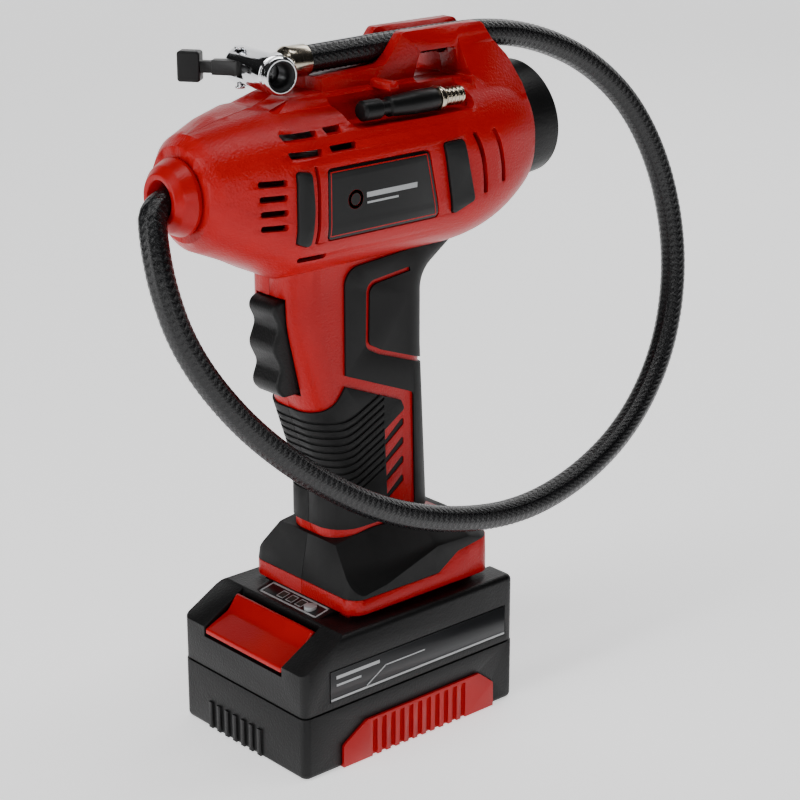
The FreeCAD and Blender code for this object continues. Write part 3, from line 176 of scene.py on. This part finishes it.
def moulded(name, colour, worn, roughness, grain_scale, grain_depth):
    """Moulded plastic or rubber: spark-eroded grain, slow colour drift and lighter rubbed edges."""
    s = Shader(name, colour, roughness, Specular_IOR_Level=0.26)
    drift = s.noise(38.0, 3.0, 0.6)
    tint = s.ramp(drift, [(0.3, scaled(colour, 0.93)), (0.7, scaled(colour, 1.06))])
    mix = s.node("Mix", data_type="RGBA")
    s.link(s.maths("MULTIPLY", edge_mask(s), EDGE_SHARE), mix.inputs["Factor"])
    s.link(tint, mix.inputs["A"])
    mix.inputs["B"].default_value = (*worn, 1.0)
    s.drive("Base Color", mix.outputs["Result"])
    fine = s.noise(grain_scale, 2.0, 0.55)
    wander = s.maths("MULTIPLY", s.noise(grain_scale * 0.12, 3.0), GLOSS_SPREAD)
    s.drive("Roughness", s.maths("ADD", wander, roughness - GLOSS_SPREAD / 2))
    s.bump(fine, grain_depth, 0.9)
    return s.material


def metal(name, colour, roughness, grain=900.0, depth=0.00002, stretch=None):
    """Plated or bare metal: a faint grain and slightly cloudy colour."""
    s = Shader(name, colour, roughness, 1.0)
    fine = s.noise(grain, 4.0, 0.6, stretch)
    s.drive("Roughness", s.maths("ADD", s.maths("MULTIPLY", fine, 0.16), roughness - 0.08))
    cloud = s.noise(60.0, 3.0)
    s.drive("Base Color", s.ramp(cloud, [(0.3, scaled(colour, 0.88)), (0.75, colour)]))
    s.bump(fine, depth, 0.5)
    return s.material


RED = (0.43, 0.0004, 0.0022)
RED_WORN = (0.55, 0.010, 0.011)
BLACK = (0.0042, 0.0042, 0.0045)
BLACK_WORN = (0.035, 0.035, 0.036)

# Slot: name, colour, colour of rubbed edges, roughness, grain per metre and depth of the grain.
MOULDED = {
    "red_shell": (
        "red_grained_plastic", RED, RED_WORN, 0.34, 1100.0, 0.00026),
    "red_trim": (
        "red_smooth_plastic", (0.42, 0.0004, 0.0022), RED_WORN, 0.32, 1700.0, 0.00008),
    "soft_grip": (
        "soft_black_rubber", (0.0048, 0.0048, 0.0050), BLACK_WORN, 0.58, 2400.0, 0.00005),
    "pad_rubber": (
        "pad_black_rubber", (0.0065, 0.0068, 0.0070), BLACK_WORN, 0.46, 2000.0, 0.00003),
    "black_plastic": (
        "black_grained_plastic", BLACK, BLACK_WORN, 0.44, 1100.0, 0.00018),
    "lever_plastic": (
        "black_smooth_plastic", (0.0050, 0.0050, 0.0052), BLACK_WORN, 0.38, 1800.0, 0.00004),
    "label_film": (
        "label_black_film", (0.0035, 0.0035, 0.0038), (0.03, 0.03, 0.03), 0.30, 600.0, 0.00001),
    "label_silver": (
        "label_graphite_film", (0.016, 0.0165, 0.018), (0.2, 0.2, 0.2), 0.34, 900.0, 0.00001),
    "panel_grey": (
        "panel_dark_film", (0.010, 0.010, 0.011), (0.2, 0.2, 0.2), 0.3, 900.0, 0.00001),
    "button_grey": (
        "button_grey_plastic", (0.42, 0.43, 0.44), (0.6, 0.6, 0.6), 0.4, 1500.0, 0.00004),
    "nylon_white": (
        "white_nylon", (0.68, 0.66, 0.60), (0.8, 0.8, 0.78), 0.45, 1500.0, 0.00003),
    "circuit_board": (
        "green_circuit_board", (0.01, 0.10, 0.035), (0.2, 0.3, 0.2), 0.35, 900.0, 0.00004),
    "cell_wrap": (
        "blue_cell_wrap", (0.03, 0.16, 0.32), (0.2, 0.4, 0.6), 0.28, 500.0, 0.00002),
    "wire_jacket": (
        "red_wire_jacket", (0.30, 0.015, 0.015), (0.4, 0.1, 0.1), 0.42, 900.0, 0.00002),
    "silicone": (
        "silicone_tube", (0.5, 0.5, 0.46), (0.6, 0.6, 0.55), 0.35, 700.0, 0.00002),
    "seal_rubber": (
        "seal_rubber", (0.010, 0.010, 0.011), (0.05, 0.05, 0.05), 0.5, 1200.0, 0.00003),
    "screen_dark": (
        "lcd_screen", (0.035, 0.043, 0.038), (0.1, 0.1, 0.1), 0.2, 300.0, 0.000005),
    "magnet_ferrite": (
        "ferrite", (0.05, 0.05, 0.055), (0.1, 0.1, 0.1), 0.6, 1200.0, 0.00006),
}
# Slot: name, colour, roughness, then where they differ the grain per metre, its depth and its stretch.
METAL = {
    "chrome": ("bright_chrome", (0.80, 0.81, 0.83), 0.10, 240.0, 0.00003),
    "nickel_brass": ("warm_nickel", (0.60, 0.53, 0.42), 0.20, 500.0, 0.00002, (4.0, 1.0, 1.0)),
    "brass": ("turned_brass", (0.60, 0.42, 0.16), 0.24, 700.0),
    "steel": ("plain_steel", (0.50, 0.51, 0.53), 0.28),
    "motor_steel": ("zinc_plated_steel", (0.44, 0.45, 0.47), 0.34, 500.0),
    "screw_steel": ("blackened_steel", (0.10, 0.10, 0.11), 0.38),
    "cast_aluminium": ("cast_aluminium", (0.56, 0.57, 0.59), 0.44, 900.0, 0.0001),
}
MAT = {slot: moulded(*row) for slot, row in MOULDED.items()}
MAT.update({slot: metal(*row) for slot, row in METAL.items()})


def lens_material():
    s = Shader("clear_lens", (0.85, 0.9, 0.9), 0.06, 0.0, Transmission_Weight=0.9, IOR=1.49)
    s.bump(s.noise(120.0, 2.0), 0.000004, 0.4)
    return s.material


MAT["lens_clear"] = lens_material()

for row in frame["record"]["subparts"]:
    node = NODES[row["node"]]
    chosen = MAT.get(row["material_slot"])
    if chosen:
        node.data.materials.clear()
        node.data.materials.append(chosen)


# ------------------------------------------------------------------ finish of the CAD nodes
WELD_REACH = 0.000004
SHARP_FROM = math.radians(28.0)


def soften(node, width):
    """Rounds the sharp edges of a CAD node with modifiers, without touching its mesh."""
    weld = node.modifiers.new("weld", "WELD")
    weld.merge_threshold = WELD_REACH
    if width > 0:
        bevel = node.modifiers.new("bevel", "BEVEL")
        bevel.width = width
        bevel.segments = 2
        bevel.limit_method = "ANGLE"
        bevel.angle_limit = SHARP_FROM
        bevel.harden_normals = True
        bevel.use_clamp_overlap = True
    for polygon in node.data.polygons:
        polygon.use_smooth = True


# ------------------------------------------------------------------ the braided hose
HOSE_ROUTE = [
    (-80.5, 0.0, 236.0), (-94.1, -0.6, 235.6), (-98.6, -8.0, 222.4), (-99.6, -14.0, 207.0),
    (-95.8, -18.5, 188.0), (-86.0, -23.0, 168.0), (-68.0, -27.6, 145.0), (-42.0, -32.6, 122.0),
    (-11.0, -36.0, 102.5), (24.0, -38.6, 90.0), (62.0, -39.4, 84.5), (100.0, -38.6, 91.5),
    (134.0, -34.6, 107.0), (160.0, -29.0, 134.0), (173.0, -22.0, 169.0), (171.5, -14.5, 206.0),
    (157.5, -8.5, 238.0),
    (134.0, -4.0, 260.5), (106.0, -1.0, 274.0), (77.0, 0.0, 280.2), (48.0, 0.0, 280.6), (15.0, 0.0, 280.4),
    (-20.7, 0.0, 279.6),
]
HOSE_D = 0.0108


def link_object(name, data):
    made = bpy.data.objects.new(name, data)
    bpy.context.scene.collection.objects.link(made)
    return made


def smooth_route(route):
    """Points along the NURBS spline whose control points are the route, in metres."""
    curve = bpy.data.curves.new("route", "CURVE")
    curve.dimensions = "3D"
    spline = curve.splines.new("NURBS")
    spline.points.add(len(route) - 1)
    for point, place in zip(spline.points, route):
        point.co = (place[0] * MM, place[1] * MM, place[2] * MM, 1.0)
    spline.order_u = 3
    spline.use_endpoint_u = True
    spline.resolution_u = 24
    made = link_object("route", curve)
    mesh = bpy.data.meshes.new_from_object(made)
    points = np.array([v.co[:] for v in mesh.vertices])
    bpy.data.objects.remove(made)
    bpy.data.curves.remove(curve)
    bpy.data.meshes.remove(mesh)
    return points


def even_points(points, step):
    steps = np.linalg.norm(np.diff(points, axis=0), axis=1)
    along = np.concatenate([[0.0], np.cumsum(steps)])
    count = int(round(along[-1] / step)) + 1
    wanted = np.linspace(0.0, along[-1], count)
    return np.stack([np.interp(wanted, along, points[:, i]) for i in range(3)], 1), wanted


def carried_frames(points):
    """Two unit vectors across the path at each point, carried along it without twist."""
    tangents = np.gradient(points, axis=0)
    tangents /= np.linalg.norm(tangents, axis=1)[:, None]
    first = np.cross(tangents[0], [0.0, 1.0, 0.0])
    first /= np.linalg.norm(first)
    sides = [first]
    for tangent in tangents[1:]:
        side = sides[-1] - tangent * np.dot(sides[-1], tangent)
        sides.append(side / np.linalg.norm(side))
    sides = np.array(sides)
    return sides, np.cross(tangents, sides)


def tube_mesh(name, points, along, radius_at, around, material):
    """A tube along points with closed ends; radius_at(distance, angle) gives the radius at each vertex."""
    side, up = carried_frames(points)
    angles = np.linspace(0.0, 2 * math.pi, around, endpoint=False)
    radii = radius_at(along[:, None], angles[None, :])
    ring = (side[:, None, :] * np.cos(angles)[None, :, None] + up[:, None, :] * np.sin(angles)[None, :, None])
    places = points[:, None, :] + ring * radii[:, :, None]
    count = len(points)
    verts = np.concatenate([places.reshape(-1, 3), points[:1], points[-1:]])
    i, j = np.meshgrid(np.arange(count - 1), np.arange(around), indexing="ij")
    k = (j + 1) % around
    faces = np.stack([i * around + j, i * around + k, (i + 1) * around + k, (i + 1) * around + j], -1)
    faces = faces.reshape(-1, 4).tolist()
    start, end = count * around, count * around + 1
    for a in range(around):
        b = (a + 1) % around
        faces.append([start, b, a])
        faces.append([end, (count - 1) * around + a, (count - 1) * around + b])
    mesh = bpy.data.meshes.new(name)
    mesh.from_pydata(verts.tolist(), [], faces)
    mesh.polygons.foreach_set("use_smooth", [True] * len(mesh.polygons))
    layer = mesh.uv_layers.new(name="along")
    uv = np.zeros((len(mesh.loops), 2), np.float32)
    near, far = along[i], along[i + 1]
    turn = angles[j] / (2 * math.pi)
    next_turn = turn + 1.0 / around
    corners = ((turn, near), (next_turn, near), (next_turn, far), (turn, far))
    quad = np.stack([np.stack(corner, -1) for corner in corners], 2)
    uv[:quad.size // 2] = quad.reshape(-1, 2)
    layer.data.foreach_set("uv", uv.ravel())
    mesh.materials.append(material)
    mesh.update()
    return link_object(name, mesh)


BRAID_CARRIERS = 18
BRAID_PITCH = 0.026      # length of hose in which one strand goes once around
BRAID_DEPTH = 0.00024
THREADS = 4.0            # threads in one strand
HOSE_STEP = 0.00036      # length of one row of the hose's faces
HOSE_AROUND = 128


def braid_radius(distance, angle):
    """Outer radius of a braid of flat strands, each passing over two and under two."""
    u = angle * BRAID_CARRIERS / (2 * math.pi)
    v = distance * BRAID_CARRIERS / BRAID_PITCH
    right, left = u + v, u - v
    heights = []
    for across, along, sign in ((right, left, 1.0), (left, right, -1.0)):
        crown = 1.0 - (2.0 * (across % 1.0) - 1.0) ** 4
        weave = np.sin(math.pi * 0.5 * (np.floor(across) + sign * along))
        heights.append(crown * (0.5 + 0.5 * sign * weave))
    return HOSE_D / 2 - BRAID_DEPTH * (1.0 - np.maximum(*heights))


def braid_material():
    """Black nylon yarn: fine glossy threads along both strand directions, with painted highlights on the
    thread crowns and painted shade between the threads.
    """
    s = Shader("black_nylon_braid", (0.004, 0.004, 0.0045), 0.24, 0.0, Specular_IOR_Level=0.42)
    parts = s.node("SeparateXYZ")
    s.link(s.node("UVMap", uv_map="along").outputs["UV"], parts.inputs[0])
    u = s.maths("MULTIPLY", parts.outputs["X"], float(BRAID_CARRIERS))
    v = s.maths("MULTIPLY", parts.outputs["Y"], BRAID_CARRIERS / BRAID_PITCH)
    threads = []
    for operation in ("ADD", "SUBTRACT"):
        across = s.maths(operation, u, v)
        threads.append(s.maths("SINE", s.maths("MULTIPLY", across, 2 * math.pi * THREADS), 0.0))
    both = s.maths("MAXIMUM", *threads)
    speck = s.noise(1500.0, 2.0)
    # Painted highlight and shade: the base colour is lighter on the thread crowns and darker in the grooves
    # between threads.
    s.drive("Base Color", s.ramp(both, [(0.2, (0.0025, 0.0025, 0.003)), (0.9, (0.0075, 0.0075, 0.0085))]))
    s.drive("Roughness", s.ramp(speck, [(0.3, 0.17), (0.7, 0.30)]))
    s.bump(both, 0.00003, 0.5)
    return s.material


def build_hose():
    points, along = even_points(smooth_route(HOSE_ROUTE), HOSE_STEP)
    hose = tube_mesh("braided_hose", points, along, braid_radius, HOSE_AROUND, braid_material())
    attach(hose, "housing")
    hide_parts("hose")


build_hose()

# ------------------------------------------------------------------ printed lines and marks, in millimetres
INLAY = 0.06             # how far a printed mark stands on its label
BARREL_MIDDLE_Z = 232.8
BARREL_FLAT = 7.9        # half height of the barrel's flat side
BARREL_CORNER = 23.85    # radius of the rounded side at the label's face
BARREL_CORNER_Y = 10.0
PACK_FACE_Y = 40.02
PANEL_FRONT, PANEL_REAR = (-34.3, 57.21), (-25.6, 59.05)     # the charge panel's slope, in X and Z
LAMP_X, LAMP_SIZE = -30.0, 3.2
LAMP_YS = (7.1, 1.2, -4.7)


def on_barrel(side):
    """Places (x, z) on the label of one side of the barrel, lifted off its face."""
    def place(x, z, lift):
        rise = max(0.0, abs(z - BARREL_MIDDLE_Z) - BARREL_FLAT)
        return x, side * (BARREL_CORNER_Y + math.sqrt((BARREL_CORNER + lift) ** 2 - rise ** 2)), z
    return place


def on_pack(side):
    """Places (x, z) on one side of the battery pack."""
    return lambda x, z, lift: (x, side * (PACK_FACE_Y + lift), z)


def on_panel(x, y, lift):
    """Places (x, y) on the sloped charge panel."""
    share = (x - PANEL_FRONT[0]) / (PANEL_REAR[0] - PANEL_FRONT[0])
    return x, y, PANEL_FRONT[1] + share * (PANEL_REAR[1] - PANEL_FRONT[1]) + lift


def stripe(path, width, step=1.6):
    """The four-cornered cells of a line of even width along a path."""
    cells = []
    for start, end in zip(path[:-1], path[1:]):
        a, b = np.array(start, float), np.array(end, float)
        along = (b - a) / np.linalg.norm(b - a)
        across = np.array([-along[1], along[0]]) * width / 2
        a, b = a - along * width / 2, b + along * width / 2
        count = max(1, int(np.linalg.norm(b - a) / step))
        stops = [a + (b - a) * i / count for i in range(count + 1)]
        cells += [(p - across, q - across, q + across, p + across) for p, q in zip(stops[:-1], stops[1:])]
    return cells


def closed(points):
    return points + points[:1]


def ring_path(x, z, radius, count=28):
    turns = np.linspace(0.0, 2 * math.pi, count, endpoint=False)
    return closed([(x + radius * math.cos(t), z + radius * math.sin(t)) for t in turns])


def rectangle_path(x0, x1, y0, y1):
    return closed([(x0, y0), (x1, y0), (x1, y1), (x0, y1)])


def add_marks(name, body, slot, groups):
    """One thin printed piece made from groups of (cells, place)."""
    shape = bmesh.new()
    for cells, place in groups:
        for cell in cells:
            top = [shape.verts.new(Vector(place(a, b, INLAY)) * MM) for a, b in cell]
            low = [shape.verts.new(Vector(place(a, b, -INLAY)) * MM) for a, b in cell]
            shape.faces.new(top)
            shape.faces.new(low[::-1])
            for i in range(4):
                j = (i + 1) % 4
                shape.faces.new((top[i], low[i], low[j], top[j]))
    bmesh.ops.recalc_face_normals(shape, faces=shape.faces)
    mesh = bpy.data.meshes.new(name)
    shape.to_mesh(mesh)
    shape.free()
    mesh.materials.append(MAT[slot])
    made = link_object(name, mesh)
    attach(made, body)


def label_marks():
    """A thin red frame, a plain ring and two plain bars on each side label."""
    frame_path = closed([(-35.9, 219.3), (17.3, 219.3), (12.0, 243.9), (-35.9, 243.9)])
    lines = stripe(frame_path, 0.4) + stripe(ring_path(-24.0, 232.0, 3.0), 1.3)
    bars = stripe([(-17.5, 232.8), (6.0, 232.8)], 2.0) + stripe([(-17.9, 229.8), (-3.0, 229.8)], 0.8)
    sides = [on_barrel(-1.0), on_barrel(1.0)]
    add_marks("label_red_lines", "housing", "red_trim", [(lines, side) for side in sides])
    add_marks("label_grey_bars", "housing", "button_grey", [(bars, side) for side in sides])


def pack_marks():
    """The light edge stripe, the stepped line and two plain bars on each pack label."""
    lines = (stripe([(-43.4, 31.7), (51.4, 31.7)], 0.9)
             + stripe([(-25.0, 32.6), (-15.0, 38.4), (6.0, 38.4)], 0.5)
             + stripe([(-40.4, 41.0), (-19.0, 41.0)], 1.4) + stripe([(-40.6, 37.6), (-28.6, 37.6)], 0.9))
    sides = [on_pack(-1.0), on_pack(1.0)]
    add_marks("pack_label_lines", "battery_pack", "button_grey", [(lines, side) for side in sides])


def panel_marks():
    """The light frame of the charge panel and its three framed lamps."""
    lines, lamps = stripe(rectangle_path(-33.5, -26.5, -17.8, 17.8), 0.8), []
    for y in LAMP_YS:
        lines += stripe(rectangle_path(LAMP_X - 2.0, LAMP_X + 2.0, y - 1.9, y + 1.9), 0.3)
        lamps += stripe([(LAMP_X, y - 0.1), (LAMP_X, y + 0.1)], LAMP_SIZE)
    add_marks("charge_panel_lines", "battery_pack", "button_grey", [(lines, on_panel)])
    add_marks("charge_lamps", "battery_pack", "screen_dark", [(lamps, on_panel)])


label_marks()
pack_marks()
panel_marks()

# ------------------------------------------------------------------ edge widths of the CAD nodes
EDGE_MM = {
    "left_housing": 0.5, "right_housing": 0.5, "nose_collar": 0.3,
    "left_overmold": 0.3, "right_overmold": 0.3,
    "side_pads": 0.35, "side_labels": 0.12, "gauge_housing": 0.3, "trigger": 0.4, "chuck_body": 0.2,
    "chuck_lever": 0.3, "adapter_nozzle": 0.2, "adapter_end": 0.15, "hose_ferrule": 0.2,
    "pack_lower_shell": 0.4, "pack_upper_shell": 0.5, "pack_latch": 0.5, "left_pack_grip": 0.3,
    "right_pack_grip": 0.3, "charge_panel": 0.1, "charge_button": 0.15, "pack_labels": 0.1,
}
for key, node in NODES.items():
    soften(node, EDGE_MM.get(key, 0.0) * MM)


# ------------------------------------------------------------------ stage and light
FLOOR_REACH, FLOOR_BEND = 3.0, 0.6       # half size of the floor and the radius of its sweep up behind
FLOOR_AHEAD = Vector((0.628, 0.706, 0.0))
SKY_LOW, SKY_HIGH = 0.10, 0.55           # strength of the dark grey sky at the horizon and overhead
AIM = (0.02, 0.0, 0.15)
# Name: place, width and height in metres, power in watts.
LIGHTS = {
    "top_light": ((0.0, -0.15, 1.35), (1.5, 0.22), 8.0),
    "left_light": ((-1.25, 0.15, 0.60), (0.5, 1.0), 9.0),
    "front_light": ((-0.60, -1.10, 0.42), (1.1, 0.10), 3.2),
    "rear_light": ((1.2, 0.5, 0.9), (0.8, 0.5), 3.0),
}


def add_stage():
    """A pale floor that sweeps up behind the object, away from the camera."""
    start = FLOOR_REACH - FLOOR_BEND
    sweep = [(start + FLOOR_BEND * math.sin(turn), FLOOR_BEND - FLOOR_BEND * math.cos(turn))
             for turn in np.linspace(0, math.pi / 2, 16)]
    profile = [(-FLOOR_REACH, 0.0)] + sweep + [(FLOOR_REACH, FLOOR_REACH)]
    ahead = FLOOR_AHEAD.normalized()
    across = Vector((-ahead.y, ahead.x, 0.0))
    verts = [ahead * d + across * w + Vector((0, 0, h))
             for w in (-FLOOR_REACH, FLOOR_REACH) for d, h in profile]
    count = len(profile)
    faces = [(i, i + 1, count + i + 1, count + i) for i in range(count - 1)]
    mesh = bpy.data.meshes.new("floor")
    mesh.from_pydata([v[:] for v in verts], [], faces)
    mesh.polygons.foreach_set("use_smooth", [True] * len(mesh.polygons))
    floor = link_object("floor", mesh)
    s = Shader("studio_floor", (0.86, 0.86, 0.87), 0.75, Emission_Color=(1.0, 1.0, 1.0, 1.0),
               Emission_Strength=0.90)
    mesh.materials.append(s.material)


def add_area(name, place, size, power):
    """A rectangular area light that faces AIM."""
    data = bpy.data.lights.new(name, "AREA")
    data.shape = "RECTANGLE"
    data.size, data.size_y = size
    data.energy = power
    lamp = link_object(name, data)
    lamp.location = place
    aim = Vector(AIM) - Vector(place)
    lamp.rotation_euler = aim.to_track_quat("-Z", "Y").to_euler()


def add_sky():
    """A nearly dark studio, a little lighter overhead, so that blacks and chrome keep their contrast."""
    world = bpy.data.worlds.new("studio")
    world.use_nodes = True
    tree = world.node_tree
    height = tree.nodes.new("ShaderNodeSeparateXYZ")
    fade = tree.nodes.new("ShaderNodeMapRange")
    for socket, value in (("From Min", 0.0), ("From Max", 0.9), ("To Min", SKY_LOW), ("To Max", SKY_HIGH)):
        fade.inputs[socket].default_value = value
    tree.links.new(tree.nodes.new("ShaderNodeTexCoord").outputs["Generated"], height.inputs[0])
    tree.links.new(height.outputs["Z"], fade.inputs["Value"])
    tree.links.new(fade.outputs["Result"], tree.nodes["Background"].inputs["Strength"])
    bpy.context.scene.world = world


add_stage()
for light, row in LIGHTS.items():
    add_area(light, *row)
add_sky()
